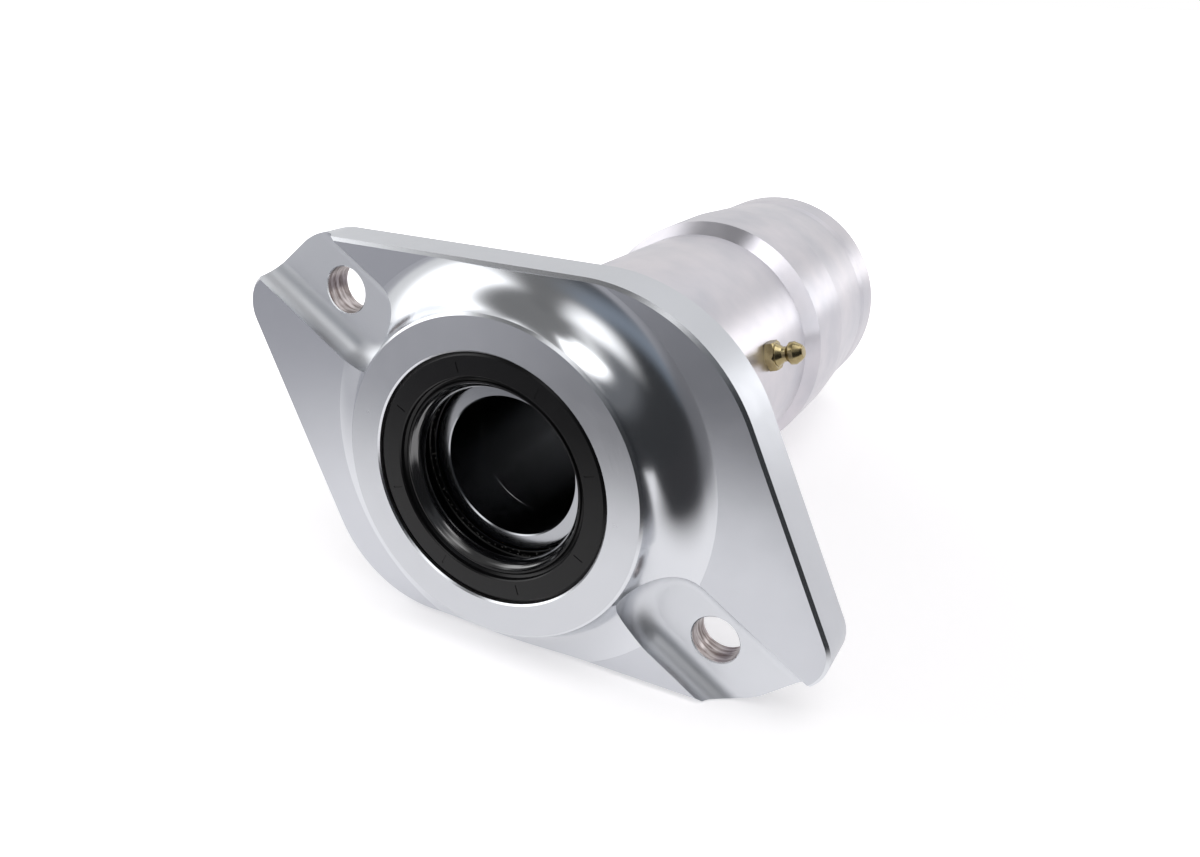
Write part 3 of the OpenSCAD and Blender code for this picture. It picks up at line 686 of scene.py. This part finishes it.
# Deep-groove ball bearings, 35 x 62 x 14; y is below the bearing's outboard face
bearing = {
    "frontDepth": 10.2, "rearDepth": 8.2, "width": 14.0, "bore": 17.5, "outer": 31.0, "chamfer": 0.8,
    "boreBevel": 0.3, "jointChamfer": 0.2, "innerShoulder": 21.6, "outerShoulder": 26.65,
    "pitch": 24.25, "ball": 3.97, "groove": 4.02, "grooveSteps": 16, "ballCount": 11,
    "cageHalf": 1.0, "cageWidth": 9.8, "cagePocket": 4.07, "cageEdge": 0.25, "drillLength": 8.0,
    # the shield's face has a moulded step and a thin lip that reaches toward the race
    "shieldSeat": 27.3, "shieldBack": 1.25, "shieldEdge": 0.12,
    "shield": [(22, 0.6), (22.35, 0.47), (22.9, 0.65), (23.6, 0.65), (23.9, 0.35), (26.4, 0.35),
               (26.7, 0.55), (27.3, 0.55), (27.3, 1.25), (22, 1.25)],
}


def buildBearing(end, rear):
    b = bearing
    depth = b["rearDepth"] if rear else b["frontDepth"]
    w, c, j, back = b["width"], b["chamfer"], b["jointChamfer"], b["shieldBack"]
    half, hub, ledge, wall = w / 2, b["innerShoulder"], b["outerShoulder"], b["shieldSeat"]

    def lowered(points):
        return [(r, y + depth) for r, y in points]

    def groovePoints(shoulder, middle):
        # the ball's track between the two shoulders of a race
        swing = math.degrees(math.acos(abs(shoulder - b["pitch"]) / b["groove"]))
        return arc((b["pitch"], half), b["groove"], middle - swing, middle + swing, b["grooveSteps"])

    inner = [(b["bore"] + b["boreBevel"], 0), (hub - c, 0), (hub, c)]
    inner += sorted(groovePoints(hub, 180), key=lambda p: p[1])
    inner += [(hub, w - c), (hub - c, w), (b["bore"] + j, w), (b["bore"], w - j), (b["bore"], b["boreBevel"])]
    outer = [(wall, 0), (b["outer"] - c, 0), (b["outer"], c), (b["outer"], w - c), (b["outer"] - c, w),
             (wall, w), (wall, w - back), (ledge, w - back)]
    outer += sorted(groovePoints(ledge, 0), key=lambda p: -p[1])
    outer += [(ledge, back), (wall, back)]
    seat(turnedPiece(end + "InnerRace", lowered(inner), groundSteel, rear), "axle_sleeve",
         end + "_inner_race")
    seat(turnedPiece(end + "OuterRace", lowered(outer), groundSteel, rear), "carrier",
         end + "_outer_race")

    train = end + "_ball_train"
    circle = {"Count": b["ballCount"], "Radius": b["pitch"] * mm, "Start": 0.0,
              "Level": (length - depth - half if rear else depth + half) * mm}

    def ball(tree, given):
        solid = addNode(tree, "GeometryNodeMeshUVSphere", {"Segments": 40, "Rings": 20,
                                                           "Radius": given["Ball"]})
        return spreadRound(tree, given, solid), ballSteel

    seat(grow(end + "Balls", ball, Ball=b["ball"] * mm, **circle), train, end + "_balls")

    def drill(tree, given):
        rod = addNode(tree, "GeometryNodeMeshCylinder", {"Vertices": 48, "Radius": given["Ball"],
                                                         "Depth": b["drillLength"] * mm})
        laid = addNode(tree, "GeometryNodeTransform", {"Geometry": rod, "Rotation": (0, math.pi / 2, 0)})
        return spreadRound(tree, given, laid), cageBrass

    low, high = b["pitch"] - b["cageHalf"], b["pitch"] + b["cageHalf"]
    near = half - b["cageWidth"] / 2
    far = near + b["cageWidth"]
    band = soften([(low, near), (high, near), (high, far), (low, far)], b["cageEdge"])
    cage = revolve(end + "Cage", [(0, atEnd(lowered(band), rear))], [cageBrass])
    pockets = grow(end + "CageDrill", drill, Ball=b["cagePocket"] * mm, **circle)
    cut(cage, pockets)
    bake(cage, pockets)
    seat(crisp(cage, 40.0), train, end + "_cage")

    for side in ("Outboard", "Inboard"):
        shape = [(r, w - y) for r, y in b["shield"]] if side == "Inboard" else b["shield"]
        section = lowered(soften(shape, b["shieldEdge"], 3))
        seat(turnedPiece(end + "Shield" + side, section, shieldRubber, rear), "carrier",
             end + "_shield_" + side.lower())


# Drops of grease on the front shield, in the gap under the sealing lip
grease = {"drops": 120, "inner": 22.2, "outer": 24.6, "y": 10.68, "small": 0.08, "large": 0.24, "flat": 0.5,
          "from": 150.0, "to": 290.0}


def buildGrease():
    g = grease

    def drops(tree, given):
        angle, ring, size = (
            addNode(tree, "FunctionNodeRandomValue", {2: given[low], 3: given[high], "Seed": seed}).outputs[1]
            for low, high, seed in (("From", "To", 3), ("Inner", "Outer", 7), ("Small", "Large", 11)))
        points = pointsRound(tree, given, angle, ring)
        drop = addNode(tree, "GeometryNodeMeshIcoSphere", {"Radius": 1.0, "Subdivisions": 3})
        low = addNode(tree, "GeometryNodeTransform", {"Geometry": drop, "Scale": (1, g["flat"], 1)})
        return addNode(tree, "GeometryNodeInstanceOnPoints", {"Points": points, "Instance": low,
                                                              "Scale": size}), greaseFilm

    piece = grow("greaseDrops", drops, Count=g["drops"], Level=g["y"] * mm, Inner=g["inner"] * mm,
                 Outer=g["outer"] * mm, Small=g["small"] * mm, Large=g["large"] * mm,
                 From=math.radians(g["from"]), To=math.radians(g["to"]))
    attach(piece, "carrier")


# Spacer between the inner races, and the open ring that holds the front bearing
sleeve = {"bore": 17.8, "outer": 20.5, "start": 24.2, "end": 177.8, "chamfer": 0.3}
openRing = {"outer": 32.4, "width": 3.6, "start": 8.3, "end": 10.2, "gap": 13.0, "lug": 2.7, "lugHole": 1.1,
            "boreRadius": 31.0, "edge": 0.15, "overrun": 1.0}


def buildSleeve():
    inner, outer, start, end, k = (sleeve[key] for key in ("bore", "outer", "start", "end", "chamfer"))
    section = [(inner + k, start), (outer - k, start), (outer, start + k), (outer, end - k),
               (outer - k, end), (inner + k, end), (inner, end - k), (inner, start + k)]
    seat(turnedPiece("spacerTube", section, spacerSteel), "axle_sleeve", "spacer_tube")


def buildRing():
    r = openRing
    inner, edge, over = r["outer"] - r["width"], r["edge"], r["overrun"]
    lugReach = inner + r["width"] / 2 - r["lug"] / 2
    lugAngle = math.degrees(math.asin(r["lug"] / (r["boreRadius"] - r["lug"])))

    def slab(name, outline):
        levels = [(r["start"], edge), (r["start"] + edge, 0), (r["end"] - edge, 0), (r["end"], edge)]
        return loft(name, [atLevel(outline(inset), y) for y, inset in levels], [0] * 5, [springSteel])

    def punch(name, outline):
        return loft(name, [atLevel(outline, y) for y in (r["start"] - over, r["end"] + over)], [0] * 3,
                    [springSteel])

    first, last = -90 + r["gap"], 270 - r["gap"]
    piece = slab("openRing", lambda i: arc((0, 0), r["outer"] - i, first, last, 160)
                 + arc((0, 0), inner + i, last, first, 160))
    lugs, holes = [], []
    for sideways in (-1, 1):
        a = math.radians(sideways * (r["gap"] + lugAngle) - 90)
        centre = (lugReach * math.cos(a), lugReach * math.sin(a))
        lugs.append(slab("lug", lambda i: arc(centre, r["lug"] - i, 0, 352.5, 47)))
        holes.append(punch("lugHole", arc(centre, r["lugHole"], 0, 350, 35)))
        cut(piece, lugs[-1], "UNION")
    gapSides = arc((0, 0), 2 * r["outer"], -90 - r["gap"], -90 + r["gap"], 1)
    notch = punch("gapCut", [(0, 0)] + gapSides)
    for cutter in [notch] + holes:
        cut(piece, cutter)
    bake(piece, notch, *lugs, *holes)
    seat(crisp(piece), "carrier", "front_retaining_ring")


def buildNipple():
    n = nipple
    base, top, depth, rib = n["tubeRadius"], n["height"], n["wallDepth"], n["hexHeight"] - n["hair"]
    profile = [(0, -depth), (n["shankRadius"] - n["bevel"], -depth), (n["shankRadius"], n["bevel"] - depth),
               (n["shankRadius"], rib), (n["hexHalf"] - n["bevel"], rib), (n["neckRadius"], n["neckFoot"]),
               (n["neckRadius"], n["neckTop"]), (n["headRadius"], n["headShoulder"]),
               (n["headRadius"], n["headCrown"]), (n["tipRadius"] + n["tipBevel"], top - n["tipBevel"]),
               (n["tipRadius"], top), (0, top)]
    softened = [profile[0]] + soften(profile, n["softEdge"])[5:-5] + [profile[-1]]
    place = nipplePlace() @ Matrix.Translation((0, base, 0))
    stem = revolve("nippleBody", [(0, softened)], [nippleBrass], 96, place)
    corner = n["hexHalf"] / math.cos(math.radians(30))
    hexagon = arc((0, 0), corner, 0, 300, 5)
    prism = loft("nippleHex", [atLevel(hexagon, y) for y in (0, n["hexHeight"])], [0] * 3, [nippleBrass],
                 place)
    cone = [(0, -1), (n["crownRadius"], -1), (corner + n["hexHeight"] - n["bevel"], 0),
            (corner - n["bevel"], n["hexHeight"]), (0, n["hexHeight"])]
    crown = revolve("nippleCrown", [(0, cone)], [nippleBrass], 96, place)
    cut(prism, crown, "INTERSECT")
    bake(prism, crown)
    foot, mouth, chamber, seatLevel = n["passageFoot"], n["mouthRadius"], n["chamberRadius"], n["ballSeat"]
    duct = [(0, foot), (mouth, foot), (mouth, n["springFoot"]), (chamber, n["springFoot"]),
            (chamber, seatLevel), (mouth, seatLevel), (n["tipMouth"], seatLevel + n["seatSlope"]),
            (n["tipMouth"], n["passageTop"]), (0, n["passageTop"])]
    passage = revolve("nipplePassage", [(0, duct)], [nippleBrass], 32, place)
    cut(stem, prism, "UNION")
    cut(stem, passage)
    bake(stem, prism, passage)
    seat(crisp(stem), "carrier", "grease_nipple_body")

    def helix(tree, given):
        path = addNode(tree, "GeometryNodeCurveSpiral", {
            "Resolution": 24, "Rotations": given["Turns"], "Start Radius": given["Coil"],
            "End Radius": given["Coil"], "Height": given["Height"]})
        thin = addNode(tree, "GeometryNodeCurvePrimitiveCircle", {"Resolution": 8, "Radius": given["Wire"]})
        return addNode(tree, "GeometryNodeCurveToMesh", {"Curve": path, "Profile Curve": thin,
                                                         "Fill Caps": True}), springSteel

    metres = nipplePlace()
    metres.translation *= mm
    lifted = Matrix.Translation((0, (base + n["springFoot"] + n["wireRadius"]) * mm, 0))
    spring = grow("nippleSpring", helix, metres @ lifted @ Matrix.Rotation(math.radians(-90), 4, "X"),
                  Turns=n["coils"], Coil=n["coilRadius"] * mm, Wire=n["wireRadius"] * mm,
                  Height=(n["springHeight"] - 2 * n["wireRadius"]) * mm)
    seat(spring, "carrier", "grease_nipple_spring")
    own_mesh(spring)


for end, rear in (("front", False), ("rear", True)):
    buildSeal(end, rear)
    buildBearing(end, rear)
tick("seals and bearings")
buildGrease()
buildSleeve()
buildRing()
buildNipple()
tick("sleeve, ring and nipple")

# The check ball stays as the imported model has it
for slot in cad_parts["grease_nipple_ball"].material_slots:
    slot.material = ballSteel

# Camera, light and floor; edges and spans are where metal sees painted shade on the paper, a dim glow in
# front of the object and to its sides
studio = {
    "cameraPlace": (120.0874, -175.4301, 101.3652), "cameraTarget": (19.9413, 17.3815, 11.8137),
    "cameraRoll": 1.83, "lens": 30.644, "sensor": 36.0,
    "floorEdge": (23.9, -48.3), "floorLean": 0.06133, "floorSize": 6000.0, "floorColour": "E4E2E4",
    "floorGlow": 0.44, "farGlow": 1.0, "farEdge": (130.0, 450.0), "metalGlow": 0.5, "worldFill": 0.42,
    # edges where the paper, as metal sees it, fades into painted shade; then the span, glow, end, dimming and
    # colour of that shade
    "frontEdge": (75.0, 172.0), "leftEdge": (90.0, 230.0), "leftShare": 0.8,
    "rightEdge": (80.0, 170.0), "besideEdge": (-40.0, 50.0), "shadeSpan": (-210.0, -60.0),
    "shadeGlow": (0.56, 0.22), "shadeEnd": (20.0, 120.0), "shadeDim": 0.26, "shadeColour": "F0F0F7",
    "tentRadius": 1600.0, "tentGlow": 0.95, "lampAim": (0, 60, 0),
}
# place, size and radiance of the two lamps
softBoxes = {
    "leftSoftbox": ((-1150, -60, 560), (1500, 620), 2.2),
    "rightSoftbox": ((500, -300, 1000), (900, 900), 2.2),
}
reflector = {"x": 150.0, "y": (148.0, 194.0), "z": (10.0, 250.0), "radiance": 2.4}
# Soft boxes and flags round the object, as metal shows them: azimuth from the front (-Y) toward
# the right (+X) and its half width, elevation and its half height, soft edge, colour, radiance
tentPanels = {
    "ceiling": (0, 200, 92, 42, 8, "FFFFFF", 0.24),
    "frontFlag": (48, 78, 4, 34, 8, "F4F8FF", 0.05),
    "frontHaze": (62, 66, 42, 12, 9, "F4F8FF", 0.19),
    "topFlag": (-22, 15, 42, 32, 7, "FFFFFF", 0.2),
    "leftWindow": (-86, 43, 27, 18, 6, "FFFFFF", 2.2),
    "topWindow": (14, 17, 47, 16, 12, "FFFFFF", 1.8),
    "rightWindow": (60, 34, 64, 6, 9, "FFFFFF", 1.1),
    "highBack": (114, 44, 64, 12, 5, "FFFFFF", 2.6),
    "backHigh": (180, 34, 46, 9, 6, "FFFFFF", 1.5),
    "skyStrip": (-7, 9, 8, 22, 9, "D4E2F4", 0.42),
    "backWindow": (154, 8, 6, 9, 5, "FFFFFF", 2.6),
}


def aimed(place, target):
    # stands at a place and looks at a target, both in millimetres
    place, target = Vector(place) * mm, Vector(target) * mm
    turn = (target - place).to_track_quat("-Z", "Y").to_matrix().to_4x4()
    return Matrix.Translation(place) @ turn


def buildCamera():
    camera = newObject("camera", bpy.data.cameras.new("camera"))
    camera.data.lens = studio["lens"]
    camera.data.sensor_width = studio["sensor"]
    camera.data.clip_start = 0.005
    roll = Matrix.Rotation(math.radians(studio["cameraRoll"]), 4, "Z")
    camera.matrix_world = aimed(studio["cameraPlace"], studio["cameraTarget"]) @ roll
    bpy.context.scene.camera = camera


def buildWorld():
    # white behind the object, and an even fill for what it scatters
    world = bpy.data.worlds.new("studio")
    bpy.context.scene.world = world
    world.use_nodes = True
    tree = world.node_tree
    rays = addNode(tree, "LightPath").outputs
    metal = addNode(tree, "Math", {0: rays["Is Camera Ray"], 1: rays["Is Glossy Ray"]}, operation="MAXIMUM")
    seen = addNode(tree, "Math", {0: metal, 1: rays["Is Transmission Ray"]}, operation="MAXIMUM")
    strength = addNode(tree, "MapRange", {"Value": seen, "To Min": studio["worldFill"], "To Max": 1.0})
    background = tree.nodes["Background"]
    background.inputs["Color"].default_value = (1, 1, 1, 1)
    tree.links.new(strength.outputs[0], background.inputs["Strength"])


def softEdge(tree, value, centre, half, soft):
    # 1 within half of the centre and 0 outside, with a soft edge
    off = addNode(tree, "Math", {0: value, 1: centre}, operation="SUBTRACT")
    near = addNode(tree, "Math", {0: off, 1: 180.0, 2: -180.0}, operation="WRAP")
    far = addNode(tree, "Math", {0: near}, operation="ABSOLUTE")
    return addNode(tree, "MapRange", {"Value": far, "From Min": half - soft, "From Max": half + soft,
                                      "To Min": 1.0, "To Max": 0.0}, interpolation_type="SMOOTHSTEP")


def glowCloth(name, paint, strength):
    # cloth that only glows; paint makes its colour in the tree
    material = bpy.data.materials.new(name)
    material.use_nodes = True
    tree = material.node_tree
    tree.nodes.clear()
    glow = addNode(tree, "Emission", {"Color": paint(tree), "Strength": strength})
    addNode(tree, "OutputMaterial", {"Surface": glow})
    return material


def onlyReflections(backdrop):
    for flag in ("camera", "diffuse", "shadow", "transmission", "volume_scatter"):
        setattr(backdrop, "visible_" + flag, False)


def paintPanels(tree):
    # the panels above, laid over plain white cloth
    place = addNode(tree, "TexCoord").outputs["Object"]
    way = addNode(tree, "VectorMath", {0: place}, operation="NORMALIZE")
    parts = addNode(tree, "SeparateXYZ", {0: way}).outputs
    front = addNode(tree, "Math", {0: parts["Y"], 1: -1.0}, operation="MULTIPLY")
    swing = addNode(tree, "Math", {0: parts["X"], 1: front}, operation="ARCTAN2")
    azimuth = addNode(tree, "Math", {0: swing}, operation="DEGREES")
    lift = addNode(tree, "Math", {0: parts["Z"]}, operation="ARCSINE")
    elevation = addNode(tree, "Math", {0: lift}, operation="DEGREES")
    colour = addNode(tree, "CombineXYZ", {i: studio["tentGlow"] for i in range(3)}).outputs[0]
    for az, azHalf, el, elHalf, soft, hexColour, radiance in tentPanels.values():
        across = softEdge(tree, azimuth, az, azHalf, soft)
        upward = softEdge(tree, elevation, el, elHalf, soft)
        mask = addNode(tree, "Math", {0: across, 1: upward}, operation="MULTIPLY")
        shade = [radiance * v for v in toLinear(hexColour)[:3]]
        colour = addNode(tree, "Mix", {0: mask, 4: colour, 5: shade}, data_type="VECTOR").outputs[1]
    return colour


def buildTent():
    # light tent that only reflections see
    tool = bmesh.new()
    bmesh.ops.create_uvsphere(tool, u_segments=48, v_segments=24, radius=studio["tentRadius"] * mm)
    bmesh.ops.reverse_faces(tool, faces=tool.faces)
    mesh = bpy.data.meshes.new("lightTent")
    tool.to_mesh(mesh)
    tool.free()
    mesh.materials.append(glowCloth("tentCloth", paintPanels, 1.0))
    onlyReflections(newObject("lightTent", mesh))


def buildCard():
    # near reflector beside the tube, which only the cone and seat see
    c = reflector
    (y0, y1), (z0, z1) = c["y"], c["z"]
    tool = bmesh.new()
    tool.faces.new([tool.verts.new((c["x"], y, z)) for y, z in ((y0, z0), (y1, z0), (y1, z1), (y0, z1))])
    cloth = glowCloth("reflectorCloth", lambda tree: (1, 1, 1, 1), c["radiance"])
    onlyReflections(finishMesh("reflector", tool, [cloth]))


def lamp(name, place, size, radiance):
    # soft box of a given radiance, so its power follows its size; reflections see the tent instead
    data = bpy.data.lights.new(name, "AREA")
    data.shape = "RECTANGLE"
    data.size, data.size_y = size[0] * mm, size[1] * mm
    data.energy = radiance * math.pi * data.size * data.size_y
    box = newObject(name, data)
    box.matrix_world = aimed(place, studio["lampAim"])
    box.visible_camera = False
    box.visible_glossy = False


def buildFloor():
    # white paper; metal sees painted shade on it in front of the object and to its sides, a dim glow that
    # only reflections see
    half = studio["floorSize"] / 2 * mm
    y0, z0 = (v * mm for v in studio["floorEdge"])
    corners = [(sx * half, sy * half + y0) for sx, sy in ((-1, -1), (1, -1), (1, 1), (-1, 1))]
    mesh = bpy.data.meshes.new("floor")
    mesh.from_pydata([(x, y, z0 + studio["floorLean"] * (y - y0)) for x, y in corners], [], [(0, 1, 2, 3)])
    floor = newObject("floor", mesh)
    material, tree, shader = newMaterial("paperFloor", studio["floorColour"], 0.9, Specular_IOR_Level=0.1)
    rays = addNode(tree, "LightPath").outputs
    metal = addNode(tree, "Math", {0: rays["Is Glossy Ray"], 1: rays["Is Transmission Ray"]},
                    operation="MAXIMUM")
    place = addNode(tree, "TexCoord").outputs["Object"]

    def fade(value, edge, low=0.0, high=1.0):
        return addNode(tree, "MapRange", {"Value": value, "From Min": edge[0] * mm, "From Max": edge[1] * mm,
                                          "To Min": low, "To Max": high}, interpolation_type="SMOOTHSTEP")

    def band(way, edge, share=1.0):
        # 0 to share across the floor along a direction
        along = addNode(tree, "VectorMath", {0: place, 1: way}, operation="DOT_PRODUCT")
        return fade(along.outputs["Value"], studio[edge], 0.0, share)

    reach = addNode(tree, "VectorMath", {0: place}, operation="LENGTH").outputs["Value"]
    paperGlow = fade(reach, studio["farEdge"], studio["floorGlow"], studio["farGlow"])
    own = addNode(tree, "Math", {0: rays["Is Camera Ray"], 1: paperGlow}, operation="MULTIPLY")
    level = addNode(tree, "Math", {0: metal, 1: studio["metalGlow"], 2: own}, operation="MULTIPLY_ADD")
    glow = addNode(tree, "Emission", {"Color": (1, 1, 1, 1), "Strength": level})
    paper = addNode(tree, "AddShader", {0: shader, 1: glow})
    # painted shade: where these bands meet, glossy rays see the paper as a dim bluish glow instead of white
    front, left, right = ((0, -1, 0), (-1, 0, 0), (1, -0.6, 0))
    corner = addNode(tree, "Math", {0: band(right, "rightEdge"), 1: band(front, "besideEdge")},
                     operation="MULTIPLY")
    sides = addNode(tree, "Math", {0: band(left, "leftEdge", studio["leftShare"]), 1: corner},
                    operation="MAXIMUM")
    dim = addNode(tree, "Math", {0: band(front, "frontEdge"), 1: sides}, operation="MAXIMUM")
    shadeMask = addNode(tree, "Math", {0: metal, 1: dim}, operation="MULTIPLY")
    across = addNode(tree, "SeparateXYZ", {0: place}).outputs["X"]
    level = addNode(tree, "Math", {0: fade(across, studio["shadeSpan"], *studio["shadeGlow"]),
                                   1: fade(across, studio["shadeEnd"], 1.0, studio["shadeDim"])},
                    operation="MULTIPLY")
    dark = addNode(tree, "Emission", {"Color": toLinear(studio["shadeColour"]), "Strength": level})
    both = addNode(tree, "MixShader", {0: shadeMask, 1: paper, 2: dark})
    tree.links.new(both.outputs[0], tree.nodes["Material Output"].inputs["Surface"])
    mesh.materials.append(material)


bpy.context.scene.view_settings.view_transform = "Standard"
buildCamera()
buildWorld()
buildTent()
buildCard()
buildFloor()
for name, (place, size, radiance) in softBoxes.items():
    lamp(name, place, size, radiance)
tick("studio")
